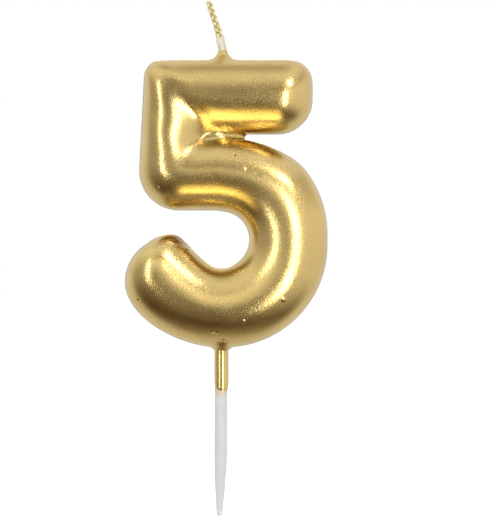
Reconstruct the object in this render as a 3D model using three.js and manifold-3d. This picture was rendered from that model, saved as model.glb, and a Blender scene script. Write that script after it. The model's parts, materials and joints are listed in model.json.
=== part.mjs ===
// A moulded number-five birthday candle: a wax numeral under a gold lacquer coat, a plaited
// cotton wick and a round plastic pick that pushes into a cake.
//
// Millimetres, +Z up, the numeral reads from the -Y side with +X to its right. The origin is on
// the pick's axis at the numeral's foot, level with the top of the cake.
//
// The numeral is one stroke, lofted through elliptical sections. Each section stands between an
// inner and an outer rail: bar, turn round the top left, arm, bowl, then the hook's end.
import * as THREE from "three";
import { mergeVertices } from "three/addons/utils/BufferGeometryUtils.js";
import Module from "manifold-3d";

const wasm = await Module();
wasm.setup();

// ---- driving dimensions ----------------------------------------------------------------

const HEIGHT = 65; // numeral, foot to top
const HALF_DEPTH = 7.75; // numeral, front to mid plane
const COAT = 0.3; // lacquer coat
const COAT_GAP = 0.15; // between the coat and the wax

const BAR_END_X = 20.6;
const BAR_FOOT = 47.95; // underside of the top bar
const HALF_STROKE = (HEIGHT - BAR_FOOT) / 2;
const BAR_END_ROUND = 6.2; // how far from its end the bar starts to round off in depth
const BAR_CORNERS = { top: 5.6, bottom: 8 };

const STEM = { top: -17.5, foot: -18.6, cornerTop: 4.4, cornerFoot: 9 }; // left edge, x
const NOTCH = { x: -1, z: 47.85, slot: 0.1 }; // closed end of the slot between bar and arm
const ARM_FOOT = 30.85; // underside of the arm
const WEB = { x: -1.3, z: 47.85, halfLength: 4, halfHeight: 2.3, halfDepth: 4.2 };

const BOWL = { innerX: 0, outerX: -0.5, z: 24.4, inner: 6.2, outer: 24.4 };
const BOWL_SQUARE = 0.55; // extra outer radius at the diagonals
const BOWL_FLAT = { from: 38, to: 66, by: 1.0 }; // outer radius lost towards the arm, degrees

// The hook's end: where its face starts on the outer side, its highest corner and its nose.
const HOOK = { outer: [-21.8, 14.6], corner: [-16.2, 24], nose: [-10.4, 25.7] };

const WICK = { x: 0.3, foot: 66.75, bottom: 38, tipX: -2.95, tipZ: 77.9 };
const WICK_PARTING = { above: 0.15, below: 0.85 }; // round the foot, where the free end bends
const PLAIT = { strands: 3, spread: 0.52, depth: 0.5, pitch: 4.2, strand: 0.28 };
const WICK_BORE = { radius: 1.14, floor: 37.6 };
const PEAK = { top: 66.6, rim: 1.5, reach: 3.1, foot: 64.2 }; // drawn up round the wick

const PICK = { radius: 1.45, top: 14, shoulder: -24, tip: -37.9, tipRadius: 0.6, bevel: 0.5 };
const SOCKET = { radius: 1.62, top: 14.3 };
const FILM = { thickness: 0.12, gap: 0.03, top: -1.6, bottom: -9.7, feather: 0.5 };
const FLARE = { radius: 2.9, rim: 1.95, foot: -1.3 }; // drawn down round the pick

const RING = 20; // facets round the stroke
const ROUND = 20; // facets round the pick and the bores

// ---- the stroke's sections -------------------------------------------------------------

const v2 = (x, z) => new THREE.Vector2(x, z);
const radians = THREE.MathUtils.degToRad;
const section = (inner, outer, depth = 1, facing = v2(0, 0)) => ({ inner, outer, depth, facing });

const BAR_END_FACING = v2(1, 0);
const HOOK_END_FACING = v2(-0.75, 0.66);
const HOOK_END_SHARE = 0.86; // how far along the end's two sides the last section stands

// Share of full depth at an angle into a rounded end: 0 where the rounding starts, 90 at the tip.
const roundedDepth = (degrees) => Math.cos(radians(degrees));

// The bar, from its rounded right end to the notch.
function barSections() {
  const made = [];
  for (const degrees of [79, 66, 53, 40, 27, 13, 0]) {
    const x = BAR_END_X - BAR_END_ROUND * (1 - Math.sin(radians(degrees)));
    const past = (corner) => Math.max(0, x - (BAR_END_X - corner));
    const drop = (corner) => corner - Math.sqrt(corner ** 2 - past(corner) ** 2);
    const foot = v2(x, BAR_FOOT + drop(BAR_CORNERS.bottom));
    const top = v2(x, HEIGHT - drop(BAR_CORNERS.top));
    const facing = BAR_END_FACING.clone().multiplyScalar(Math.sin(radians(degrees)));
    made.push(section(foot, top, roundedDepth(degrees), facing));
  }
  for (const x of [10.5, 6.5, 2.5]) made.push(section(v2(x, BAR_FOOT), v2(x, HEIGHT)));
  return made;
}

// The turn round the closed end of the notch: down the stem's left side and on to the arm.
function turnSections() {
  const topCentre = v2(STEM.top + STEM.cornerTop, HEIGHT - STEM.cornerTop);
  const footCentre = v2(STEM.foot + STEM.cornerFoot, ARM_FOOT + STEM.cornerFoot);
  const edge = new THREE.Path();
  edge.moveTo(NOTCH.x, HEIGHT);
  edge.lineTo(topCentre.x, HEIGHT);
  edge.absarc(topCentre.x, topCentre.y, STEM.cornerTop, Math.PI / 2, Math.PI, false);
  edge.lineTo(STEM.foot, footCentre.y);
  edge.absarc(footCentre.x, footCentre.y, STEM.cornerFoot, Math.PI, 1.5 * Math.PI, false);
  edge.lineTo(NOTCH.x, ARM_FOOT);
  const points = edge.getSpacedPoints(22);
  return points.map((outer, i) => {
    const along = i / (points.length - 1);
    return section(v2(NOTCH.x, NOTCH.z + NOTCH.slot * (1 - 2 * along)), outer);
  });
}

// The bowl, from the arm over the top, down the right side and along the foot. The rails swap
// names: on the bar and the arm the inner rail faces the notch, here it faces the counter.
function bowlSections() {
  const made = [];
  for (let degrees = 84; degrees >= -90; degrees -= 14.5) {
    const a = radians(degrees);
    const flat = THREE.MathUtils.smoothstep(degrees, BOWL_FLAT.from, BOWL_FLAT.to) * BOWL_FLAT.by;
    const outer = BOWL.outer + BOWL_SQUARE * Math.abs(Math.sin(2 * a)) - flat;
    made.push(
      section(
        v2(BOWL.outerX + outer * Math.cos(a), BOWL.z + outer * Math.sin(a)),
        v2(BOWL.innerX + BOWL.inner * Math.cos(a), BOWL.z + BOWL.inner * Math.sin(a)),
      ),
    );
  }
  return made;
}

// The hook, from the foot of the bowl to its blunt end, which faces up and to the left.
function hookSections() {
  const [start, corner, nose] = [HOOK.outer, HOOK.corner, HOOK.nose].map(([x, z]) => v2(x, z));
  const counterFoot = v2(BOWL.innerX, BOWL.z - BOWL.inner);
  const bowlFoot = v2(BOWL.outerX, BOWL.z - BOWL.outer);
  const counterSide = new THREE.CubicBezierCurve(counterFoot, v2(-4.6, 18.2), v2(-7.2, 24.2), nose);
  const outerSide = new THREE.CubicBezierCurve(bowlFoot, v2(-9.5, 0), v2(-21.6, 6.6), start);
  const endFace = new THREE.QuadraticBezierCurve(start, v2(-21.8, 20.4), corner);
  const noseSide = new THREE.QuadraticBezierCurve(nose, v2(-12.4, 26.6), corner);
  const made = [];
  for (const t of [0.14, 0.3, 0.46, 0.62, 0.78]) {
    made.push(section(outerSide.getPoint(t), counterSide.getPoint(t)));
  }
  for (const degrees of [0, 16, 32, 47, 61, 74]) {
    const t = Math.sin(radians(degrees)) * HOOK_END_SHARE;
    const facing = HOOK_END_FACING.clone().multiplyScalar(Math.sin(radians(degrees)));
    made.push(section(endFace.getPoint(t), noseSide.getPoint(t), roundedDepth(degrees), facing));
  }
  return made;
}

const stroke = [...barSections(), ...turnSections(), ...bowlSections(), ...hookSections()];

// ---- solids ----------------------------------------------------------------------------

// A closed BufferGeometry as a manifold-3d solid.
function solid(geometry) {
  const bare = geometry.clone();
  bare.deleteAttribute("normal");
  bare.deleteAttribute("uv");
  const merged = mergeVertices(bare, 1e-4);
  return new wasm.Manifold(
    new wasm.Mesh({
      numProp: 3,
      vertProperties: merged.attributes.position.array,
      triVerts: new Uint32Array(merged.index.array),
    }),
  );
}

// The stroke lofted through its sections, taken in by inset on every side.
function loft(inset) {
  const rings = stroke.map(({ inner, outer, depth, facing }) => {
    const across = outer.clone().sub(inner);
    const half = (across.length() / 2) * (1 - inset / HALF_STROKE);
    const deep = (HALF_DEPTH - inset) * depth;
    const middle = inner.clone().add(outer).multiplyScalar(0.5);
    middle.addScaledVector(facing, -inset);
    const way = across.normalize();
    return Array.from({ length: RING }, (_, k) => {
      const a = (2 * Math.PI * k) / RING;
      const reach = half * Math.cos(a);
      return [middle.x + way.x * reach, deep * Math.sin(a), middle.y + way.y * reach];
    });
  });
  const triangles = [];
  const last = rings.length - 1;
  const at = (ring, k) => ring * RING + (k % RING);
  for (let k = 0; k < RING; k++) {
    for (let ring = 0; ring < last; ring++) {
      triangles.push(at(ring, k), at(ring + 1, k + 1), at(ring + 1, k));
      triangles.push(at(ring, k), at(ring, k + 1), at(ring + 1, k + 1));
    }
    if (k > 0 && k < RING - 1) {
      triangles.push(at(0, 0), at(0, k + 1), at(0, k));
      triangles.push(at(last, 0), at(last, k), at(last, k + 1));
    }
  }
  const geometry = new THREE.BufferGeometry();
  geometry.setAttribute("position", new THREE.Float32BufferAttribute(rings.flat(2), 3));
  geometry.setIndex(triangles);
  return solid(geometry);
}

// A body of revolution about Z, from [radius, height] pairs that start and end on the axis.
function turned(profile, x = 0) {
  const lathe = new THREE.LatheGeometry(profile.map(([r, z]) => v2(r, z)), ROUND);
  return lathe.rotateX(Math.PI / 2).translate(x, 0, 0);
}

// The web that fills the closed end of the notch.
function web(inset) {
  return solid(
    new THREE.SphereGeometry(1, 18, 12)
      .scale(WEB.halfLength - inset, WEB.halfDepth - inset, WEB.halfHeight - inset)
      .translate(WEB.x, 0, WEB.z),
  );
}

// The peak that the wax and the lacquer draw up round the wick.
function wickPeak(inset) {
  const top = PEAK.top - inset * 1.5;
  const foot = PEAK.foot - inset;
  const rim = PEAK.rim - inset * 0.55;
  const reach = PEAK.reach - inset;
  return solid(
    turned(
      [
        [0, foot - 3],
        [reach, foot - 3],
        [reach, foot],
        [THREE.MathUtils.lerp(rim, reach, 0.5), THREE.MathUtils.lerp(foot, top, 0.3)],
        [THREE.MathUtils.lerp(rim, reach, 0.15), THREE.MathUtils.lerp(foot, top, 0.62)],
        [rim, top],
        [0, top],
      ],
      WICK.x,
    ),
  );
}

// The flare that the lacquer leaves round the pick.
function pickFlare() {
  return solid(
    turned([
      [0, FLARE.foot],
      [FLARE.rim, FLARE.foot],
      [THREE.MathUtils.lerp(FLARE.rim, FLARE.radius, 0.25), FLARE.foot / 2],
      [FLARE.radius, 0.25],
      [FLARE.radius, 3],
      [0, 3],
    ]),
  );
}

const socketCut = solid(
  turned([
    [0, -5],
    [SOCKET.radius, -5],
    [SOCKET.radius, SOCKET.top],
    [0, SOCKET.top],
  ]),
);

const wickCut = solid(
  turned(
    [
      [0, WICK_BORE.floor],
      [WICK_BORE.radius, WICK_BORE.floor],
      [WICK_BORE.radius, HEIGHT + 5],
      [0, HEIGHT + 5],
    ],
    WICK.x,
  ),
);

const numeral = (inset) => loft(inset).add(web(inset)).add(wickPeak(inset));
const bored = (shape) => shape.subtract(wickCut).subtract(socketCut);

// A round tube along a curve. A full circle takes two sides for each curve segment.
function tube(curve, radius, sides, steps) {
  const disc = new THREE.Shape().absarc(0, 0, radius, 0, 2 * Math.PI, false);
  return new THREE.ExtrudeGeometry(disc, {
    extrudePath: curve,
    steps,
    curveSegments: sides / 2,
    bevelEnabled: false,
  });
}

// One strand of the plait between two heights above the wick's foot, on a straight upright line.
class StrandCurve extends THREE.Curve {
  constructor(phase, from, to) {
    super();
    Object.assign(this, { phase, from, to });
  }
  getPoint(t, target = new THREE.Vector3()) {
    const height = this.from + (this.to - this.from) * t;
    const turn = (2 * Math.PI * height) / PLAIT.pitch + this.phase;
    return target.set(
      PLAIT.spread * Math.cos(turn),
      PLAIT.depth * Math.sin(2 * turn),
      height,
    );
  }
}

// ---- the candle ------------------------------------------------------------------------

const WAX = new THREE.MeshStandardMaterial({ color: 0xf1e8d2, roughness: 0.55, metalness: 0 });
const GOLD = new THREE.MeshStandardMaterial({ color: 0xcdb072, roughness: 0.28, metalness: 1 });
const COTTON = new THREE.MeshStandardMaterial({ color: 0xd8c88e, roughness: 0.7, metalness: 0.2 });
const FROSTED = new THREE.MeshStandardMaterial({ color: 0xe4e7e7, roughness: 0.35, metalness: 0 });

const candle = new THREE.Group();

function place(name, geometry, material, parent = candle) {
  const mesh = new THREE.Mesh(geometry, material);
  mesh.name = name;
  parent.add(mesh);
  return mesh;
}

function geometryOf(made) {
  const mesh = made.getMesh();
  const geometry = new THREE.BufferGeometry();
  geometry.setAttribute("position", new THREE.BufferAttribute(mesh.vertProperties, 3));
  geometry.setIndex(new THREE.BufferAttribute(mesh.triVerts, 1));
  return geometry;
}

// Numeral: the wax, and the coat as a thin skin with its own holes for the wick and the pick.
const skinOutside = numeral(0).add(pickFlare());
place("wax_core", geometryOf(bored(numeral(COAT + COAT_GAP))), WAX);
place("gold_coat", geometryOf(bored(skinOutside.subtract(numeral(COAT)))), GOLD);

// Wick: three plaited strands. They are parted at the foot, where the free end bends.
const freeLength = Math.hypot(WICK.tipX - WICK.x, WICK.tipZ - WICK.foot);
const freeWick = new THREE.Group();
freeWick.position.set(WICK.x, 0, WICK.foot);
freeWick.rotation.y = Math.atan2(WICK.tipX - WICK.x, WICK.tipZ - WICK.foot);
const setWick = new THREE.Group();
setWick.position.set(WICK.x, 0, WICK.foot);
candle.add(freeWick, setWick);
for (let i = 0; i < PLAIT.strands; i++) {
  const phase = (2 * Math.PI * i) / PLAIT.strands;
  const set = new StrandCurve(phase, WICK.bottom - WICK.foot, -WICK_PARTING.below);
  const free = new StrandCurve(phase, WICK_PARTING.above, freeLength);
  place(`wick_set_strand_${i + 1}`, tube(set, PLAIT.strand, 6, 46), COTTON, setWick);
  place(`wick_free_strand_${i + 1}`, tube(free, PLAIT.strand, 8, 26), COTTON, freeWick);
}

// Pick: a round shaft with a blunt point, and the gold film left on it by the dip.
const point = new THREE.QuadraticBezierCurve(
  v2(PICK.tipRadius, PICK.tip),
  v2(PICK.radius, THREE.MathUtils.lerp(PICK.tip, PICK.shoulder, 0.72)),
  v2(PICK.radius, PICK.shoulder),
);
const pickProfile = [
  [0, PICK.tip],
  ...point.getPoints(5).map((p) => [p.x, p.y]),
  [PICK.radius, PICK.top - PICK.bevel],
  [PICK.radius - PICK.bevel, PICK.top],
  [0, PICK.top],
];
place("pick", turned(pickProfile), FROSTED);
const filmInner = PICK.radius + FILM.gap;
const filmProfile = [
  [filmInner, FILM.bottom],
  [filmInner + FILM.thickness / 2, FILM.bottom],
  [filmInner + FILM.thickness, FILM.bottom + FILM.feather],
  [filmInner + FILM.thickness, FILM.top],
  [filmInner, FILM.top],
  [filmInner, FILM.bottom],
];
place("pick_gold_film", turned(filmProfile), GOLD);

export default candle;
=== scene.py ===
import json
import math

import bmesh
import bpy
from mathutils import Matrix, Vector


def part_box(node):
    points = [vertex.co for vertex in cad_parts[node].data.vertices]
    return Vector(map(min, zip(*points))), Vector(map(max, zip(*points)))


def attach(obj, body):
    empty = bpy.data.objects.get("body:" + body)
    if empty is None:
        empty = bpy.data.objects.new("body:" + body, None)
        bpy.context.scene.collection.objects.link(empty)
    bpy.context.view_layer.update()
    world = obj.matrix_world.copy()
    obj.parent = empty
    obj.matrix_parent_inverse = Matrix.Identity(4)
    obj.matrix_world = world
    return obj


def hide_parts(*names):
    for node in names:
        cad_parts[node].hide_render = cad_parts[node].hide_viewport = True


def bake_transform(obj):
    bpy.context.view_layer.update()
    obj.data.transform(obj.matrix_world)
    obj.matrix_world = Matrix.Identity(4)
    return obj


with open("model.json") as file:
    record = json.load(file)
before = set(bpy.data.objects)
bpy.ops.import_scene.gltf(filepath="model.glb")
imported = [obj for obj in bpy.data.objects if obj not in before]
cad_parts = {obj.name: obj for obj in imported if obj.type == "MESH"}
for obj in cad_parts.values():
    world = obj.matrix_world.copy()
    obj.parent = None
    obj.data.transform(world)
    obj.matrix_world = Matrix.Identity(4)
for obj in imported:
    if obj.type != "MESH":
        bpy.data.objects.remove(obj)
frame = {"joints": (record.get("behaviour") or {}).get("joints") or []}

bl_info = {
    "name": "Number Candle",
    "version": (1, 0, 0),
    "blender": (4, 5, 0),
    "location": "View3D > Sidebar > Candle",
    "description": "Builds a gold number-five birthday candle with a plaited wick and a cake pick",
    "category": "Add Mesh",
}

# The candle reads from the -Y side, with +X to its right. Lengths are in metres, except that the
# shapes of the numeral and the wick are drawn in millimetres. MM takes those to metres.

MM = 0.001
WELD = 1e-7
BACKWARDS = Vector((0, 1, 0))
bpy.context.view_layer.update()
COAT_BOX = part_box("gold_coat")
PICK_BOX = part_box("pick")
FILM_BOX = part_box("pick_gold_film")
BEND = next(joint for joint in frame["joints"] if joint["name"] == "wick_bend")["pos_m"]


# ---- settings ----


def length(name, text, value):
    return bpy.props.FloatProperty(
        name=name, description=text, default=value, precision=5, subtype="DISTANCE", unit="LENGTH"
    )


def colour(name, text, value):
    return bpy.props.FloatVectorProperty(
        name=name, description=text, default=value, size=3, min=0, max=1, subtype="COLOR"
    )


def amount(name, text, value):
    return bpy.props.FloatProperty(
        name=name, description=text, default=value, min=0, max=1, subtype="FACTOR"
    )


class CandleSizes(bpy.types.PropertyGroup):
    half_depth: length("Half depth", "From the numeral's front to its mid plane", COAT_BOX[1][1])
    coat: length("Coat", "Thickness of the gold coat", 0.0003)
    core_gap: length("Core gap", "Space between the coat and the wax", 0.00015)
    grain: length("Mesh size", "Edge length of the coat's mesh", 0.00036)
    core_grain: length("Core mesh size", "Edge length of the core and of the coat's inside", 0.0008)
    wick_bore: length("Wick bore", "Radius of the hole that the wick leaves the wax by", 0.0009)
    pick_radius: length("Pick radius", "Radius of the pick's shaft", PICK_BOX[1][0])
    socket_radius: length("Socket radius", "Radius of the hole that the pick stands in", 0.00162)
    socket_top: length("Socket top", "Height of the end of the pick's hole", 0.0143)
    strand: length("Strand radius", "Radius of one strand of the wick", 0.00036)
    plait_pitch: length("Plait pitch", "Length of one full turn of the plait", 0.0042)


class CandleColours(bpy.types.PropertyGroup):
    gold: colour("Gold", "The lacquer's reflection", (0.64, 0.475, 0.18))
    # The darker tone: the lacquer's random darker flakes, and painted shade in the front's pits,
    # where the pick enters and on the hook's nose.
    flake_and_shade_gold: colour("Deep gold", "The lacquer where it pooled thick", (0.30, 0.17, 0.045))
    wax: colour("Wax", "The wax under the lacquer", (0.72, 0.65, 0.52))
    cotton: colour("Cotton", "The wick's bare cotton", (0.80, 0.74, 0.58))
    gilt: colour("Gilt", "The lacquer on the wick", (0.93, 0.86, 0.58))
    # Painted shade: the gilt's shaded copy, which the fibre noise mixes with the gilt.
    gilt_shade: colour("Gilt shade", "The lacquer between the wick's yarns", (0.52, 0.43, 0.18))
    plastic: colour("Plastic", "The pick's frosted plastic", (0.60, 0.61, 0.62))
    floor: colour("Floor", "The floor", (0.93, 0.93, 0.93))
    gold_roughness: amount("Gold roughness", "How soft the lacquer's reflections are", 0.245)


class CandleStage(bpy.types.PropertyGroup):
    lens: bpy.props.FloatProperty(
        name="Lens", description="Focal length of the camera", default=150, min=20, unit="CAMERA"
    )
    framed: length("Framed", "Height of the scene that fills the picture", 0.11693)
    aim: bpy.props.FloatVectorProperty(
        name="Aim",
        description="Point at the middle of the picture",
        default=(0.00631, 0, 0.01983),
        size=3,
        precision=5,
        subtype="TRANSLATION",
        unit="LENGTH",
    )
    floor_drop: length("Floor drop", "How far the floor lies below the pick's tip", 0.0001)


# ---- the numeral's stroke ----

# The outline, in mm and degrees. The bar is the top stroke, the stem comes down on its left, the
# arm leads from the stem into the bowl, and the hook is the bowl's lower left end. A NOTCH_SLOT
# below zero makes the notch's edges overlap at its closed end. A rise and a fall are shares of the
# way round the stem, and every "by" is what the curve is moved by.
HEIGHT = 65.0
BAR_FOOT = 47.95
HALF_STROKE = (HEIGHT - BAR_FOOT) / 2
BAR_END = 20.6
BAR_END_ROUND = 7.5
BAR_END_DEGREES, HOOK_END_DEGREES = range(82, -1, -4), range(0, 79, 4)
BAR_CORNER_TOP, BAR_CORNER_FOOT = 5.6, 8.0
STEM_TOP, STEM_FOOT = -17.5, -18.6
STEM_CORNER_TOP, STEM_CORNER_FOOT = 4.4, 9.0
NOTCH = (-1.0, 47.85)
NOTCH_SLOT = -0.15
FOLD = {"end": (-4.6, 47.1), "middle": (-4.2, 48.3), "rise": (0.28, 0.6), "fall": (0.76, 1.0)}
FOLD_SOFTENING = ((7.5, 2), (6.0, 3), (4.5, 3))
ARM_FOOT = 30.85
BOWL = {"inner_x": 0.0, "outer_x": -0.5, "z": 24.4, "inner": 6.2, "outer": 24.4}
BOWL_START, BOWL_TURN = 84, 174
BOWL_SQUARE = 0.55
BOWL_FLAT = {"start": 38, "end": 66, "by": 1.0}
NOTCH_DIP = {"start": 62, "end": 80, "by": 0.42}
HOOK_LENGTH = 26.0
HOOK_TIP = (-16.2, 24.0)
HOOK_INSIDE = (
    (BOWL["inner_x"], BOWL["z"] - BOWL["inner"]),
    (-4.6, 18.2),
    (-7.2, 24.2),
    (-10.4, 25.7),
)
HOOK_OUTSIDE = (
    (BOWL["outer_x"], BOWL["z"] - BOWL["outer"]),
    (-9.5, 0),
    (-21.6, 6.6),
    (-21.8, 14.6),
)
HOOK_END_INSIDE = (HOOK_INSIDE[-1], (-12.4, 26.6), HOOK_TIP)
HOOK_END_OUTSIDE = (HOOK_OUTSIDE[-1], (-21.8, 20.4), HOOK_TIP)
HOOK_END_SHARE = 0.86
HOOK_DOME = {"centre": (-13.9, 17.5), "way": (-0.6, 0.8), "reach": 9.2}
BAR_END_FACING = Vector((1, 0, 0))
HOOK_END_FACING = Vector((-0.75, 0, 0.66))
WEB = {"centre": (-1.7, 0, 47.8), "radii": (4.6, 3.8, 1.7)}
NOSE_FACET = {"point": (-8.0, 0, 24.0), "normal": (0.68, -0.29, 0.68), "right": -5.0}
CREST_SHIFT = {"by": 0.2, "rise": (0.1, 0.35), "fall": (0.45, 0.64)}
CORNER_SHIFT = {"by": 0.2, "at": 0.26, "reach": 0.17}

# The collars round the wick and the pick, as radius and height in mm. The peak's heights are
# above the numeral's top and the flare's are above its foot.
PEAK = (
    (5.2, -0.35),
    (3.5, -0.02),
    (2.2, 0.32),
    (1.55, 0.75),
    (1.2, 1.3),
    (1.08, 1.85),
    (1.05, 2.45),
)
FLARE = ((2.7, 0.4), (2.15, -0.05), (1.85, -0.38), (1.74, -0.7), (1.71, -1.0))
COLLAR_DEPTH = 3
COLLAR_STEPS = 48


def point(x, z):
    return Vector((x, 0, z))


def smooth_step(value, start, end):
    t = min(1, max(0, (value - start) / (end - start)))
    return t * t * (3 - 2 * t)


def window(along, span):
    """Rises from 0 to 1 over the span's rise, and goes back to 0 over its fall."""
    return smooth_step(along, *span["rise"]) * (1 - smooth_step(along, *span["fall"]))


def bezier(start, first, second, end, t):
    """The point at t of a cubic curve through x, z pairs."""
    a, b, c, d = (point(*pair) for pair in (start, first, second, end))
    s = 1 - t
    return a * s**3 + b * 3 * s * s * t + c * 3 * s * t * t + d * t**3


def quadratic(start, middle, end, t):
    """The point at t of a quadratic curve through x, z pairs."""
    a, b, c = (point(*pair) for pair in (start, middle, end))
    s = 1 - t
    return a * s * s + b * 2 * s * t + c * t * t


def bar_sections(step):
    """Pairs of rail points from the bar's rounded right end to the notch."""
    made = []
    for degrees in BAR_END_DEGREES:
        turn = math.radians(degrees)
        x = BAR_END - BAR_END_ROUND * (1 - math.sin(turn))
        drops = []
        for corner in (BAR_CORNER_FOOT, BAR_CORNER_TOP):
            past = max(0, x - (BAR_END - corner))
            drops.append(corner - math.sqrt(corner**2 - past**2))
        foot, top = point(x, BAR_FOOT + drops[0]), point(x, HEIGHT - drops[1])
        made.append((foot, top, math.cos(turn), BAR_END_FACING * math.sin(turn)))
    start = BAR_END - BAR_END_ROUND
    count = int((start - NOTCH[0]) / step)
    for i in range(1, count):
        x = start + (NOTCH[0] - start) * i / count
        made.append((point(x, BAR_FOOT), point(x, HEIGHT), 1, Vector()))
    return made


def turn_outline(step):
    """The outer rail round the stem: along the top, down the left side and along the arm."""
    corners = (
        (STEM_TOP + STEM_CORNER_TOP, HEIGHT - STEM_CORNER_TOP, STEM_CORNER_TOP, 90),
        (STEM_FOOT + STEM_CORNER_FOOT, ARM_FOOT + STEM_CORNER_FOOT, STEM_CORNER_FOOT, 180),
    )
    knots = [point(NOTCH[0], HEIGHT)]
    for x, z, radius, start in corners:
        for degrees in range(start, start + 91, 6):
            turn = math.radians(degrees)
            knots.append(point(x + radius * math.cos(turn), z + radius * math.sin(turn)))
    knots.append(point(NOTCH[0], ARM_FOOT))
    spaced = [knots[0]]
    for before, after in zip(knots, knots[1:]):
        parts = max(1, round((after - before).length / step))
        spaced += [before.lerp(after, i / parts) for i in range(1, parts + 1)]
    return spaced


def turn_sections(step):
    """Sections that pivot round the closed end of the notch, and then round the fold left of it."""
    outline = turn_outline(step)
    made = []
    for i, outer in enumerate(outline):
        along = i / (len(outline) - 1)
        end = point(NOTCH[0], NOTCH[1] + NOTCH_SLOT * (1 - 2 * along))
        made.append((end.lerp(point(*FOLD["end"]), window(along, FOLD)), outer, 1, Vector()))
    return made


def lean_crest(rings, sections, half_depth):
    """Shifts the stem's crest towards its outer side and upper corner, as the mould has it."""
    last = len(sections) - 1
    for i, (ring, (inner, outer, _, _)) in enumerate(zip(rings, sections)):
        along = i / last
        share = CREST_SHIFT["by"] * window(along, CREST_SHIFT)
        near_corner = max(0, 1 - ((along - CORNER_SHIFT["at"]) / CORNER_SHIFT["reach"]) ** 2)
        share += CORNER_SHIFT["by"] * near_corner**2
        shift = (outer - inner) / 2 * share * MM
        for vert in ring:
            vert.co += shift * (vert.co.y / (half_depth * MM)) ** 2


def bowl_sections(step):
    """Sections round the bowl, from the arm to the foot."""
    made = []
    turn_by = math.degrees(step / BOWL["outer"])
    count = int(BOWL_TURN / turn_by)
    for i in range(count + 1):
        degrees = BOWL_START - BOWL_TURN * i / count
        turn = math.radians(degrees)
        flat = smooth_step(degrees, BOWL_FLAT["start"], BOWL_FLAT["end"]) * BOWL_FLAT["by"]
        flat += smooth_step(degrees, NOTCH_DIP["start"], NOTCH_DIP["end"]) * NOTCH_DIP["by"]
        reach = BOWL["outer"] + BOWL_SQUARE * abs(math.sin(2 * turn)) - flat
        across, up = math.cos(turn), math.sin(turn)
        out = point(BOWL["outer_x"] + reach * across, BOWL["z"] + reach * up)
        into = point(BOWL["inner_x"] + BOWL["inner"] * across, BOWL["z"] + BOWL["inner"] * up)
        made.append((out, into, 1, Vector()))
    return made


def hook_depth(outer, inner):
    """How the hook's depth falls off past its dome's centre, as a share of the full depth."""
    past = ((outer + inner) / 2 - point(*HOOK_DOME["centre"])).dot(point(*HOOK_DOME["way"]))
    return math.sqrt(1 - (max(0, past) / HOOK_DOME["reach"]) ** 2)


def hook_sections(step):
    """Sections along the hook to its blunt end, which faces up and to the left."""
    made = []
    count = int(HOOK_LENGTH / step)
    for i in range(1, count):
        outer, inner = bezier(*HOOK_OUTSIDE, i / count), bezier(*HOOK_INSIDE, i / count)
        made.append((outer, inner, hook_depth(outer, inner), Vector()))
    for degrees in HOOK_END_DEGREES:
        turn = math.radians(degrees)
        t = math.sin(turn) * HOOK_END_SHARE
        outer, inner = quadratic(*HOOK_END_OUTSIDE, t), quadratic(*HOOK_END_INSIDE, t)
        depth = math.cos(turn) * hook_depth(outer, inner)
        made.append((outer, inner, depth, HOOK_END_FACING * math.sin(turn)))
    return made


def section_matrix(section, inset, half_depth):
    """Where a unit circle goes to become one elliptical section, taken in by inset, in mm."""
    inner, outer, depth, facing = section
    across = outer - inner
    half = across.length / 2 * (1 - inset / HALF_STROKE)
    deep = (half_depth - inset) * depth
    middle = (inner + outer) / 2 - facing * inset
    way = across.normalized()
    along = way.cross(BACKWARDS)
    axes = Matrix((way * half, Vector((0, deep, 0)), along)).transposed().to_4x4()
    return Matrix.Scale(MM, 4) @ Matrix.Translation(middle) @ axes


# ---- mesh helpers ----


def loft(bm, matrices, sides):
    """Makes a closed tube through unit circles placed by the matrices. Returns its rings."""
    rings, edges = [], []
    for matrix in matrices:
        made = bmesh.ops.create_circle(bm, segments=sides, radius=1, matrix=matrix)["verts"]
        rings.append(made)
        edges.append(list({edge for vert in made for edge in vert.link_edges}))
    for before, after in zip(edges, edges[1:]):
        bmesh.ops.bridge_loops(bm, edges=before + after)
    bmesh.ops.edgeloop_fill(bm, edges=edges[0])
    bmesh.ops.edgeloop_fill(bm, edges=edges[-1])
    return rings


def turned(bm, profile, steps, centre=(0, 0, 0)):
    """Adds a body of revolution about the upright through centre, from radius, height pairs."""
    verts = [bm.verts.new(Vector(centre) + Vector((radius, 0, z))) for radius, z in profile]
    edges = [bm.edges.new(pair) for pair in zip(verts, verts[1:])]
    spun = {"cent": centre, "axis": (0, 0, 1), "angle": math.tau, "steps": steps}
    bmesh.ops.spin(bm, geom=verts + edges, use_merge=True, **spun)
    bmesh.ops.remove_doubles(bm, verts=bm.verts, dist=WELD)


def finished(name, bm):
    """A new object at the origin from a bmesh, with its faces pointing outwards."""
    bmesh.ops.remove_doubles(bm, verts=bm.verts, dist=WELD)
    bmesh.ops.recalc_face_normals(bm, faces=bm.faces)
    mesh = bpy.data.meshes.new(name)
    bm.to_mesh(mesh)
    bm.free()
    obj = bpy.data.objects.new(name, mesh)
    bpy.context.scene.collection.objects.link(obj)
    return obj


def baked(obj):
    """Replaces an object's mesh with what its modifiers make of it."""
    depsgraph = bpy.context.evaluated_depsgraph_get()
    depsgraph.update()
    mesh = bpy.data.meshes.new_from_object(obj.evaluated_get(depsgraph), depsgraph=depsgraph)
    before = obj.data
    obj.modifiers.clear()
    obj.data = mesh
    bpy.data.meshes.remove(before)
    mesh.name = obj.name


def smoothed(bm, verts, times):
    """Evens out the vertices among their neighbours, a number of times."""
    for _ in range(times):
        bmesh.ops.smooth_vert(
            bm, verts=verts, factor=0.5, use_axis_x=True, use_axis_y=True, use_axis_z=True
        )


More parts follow.
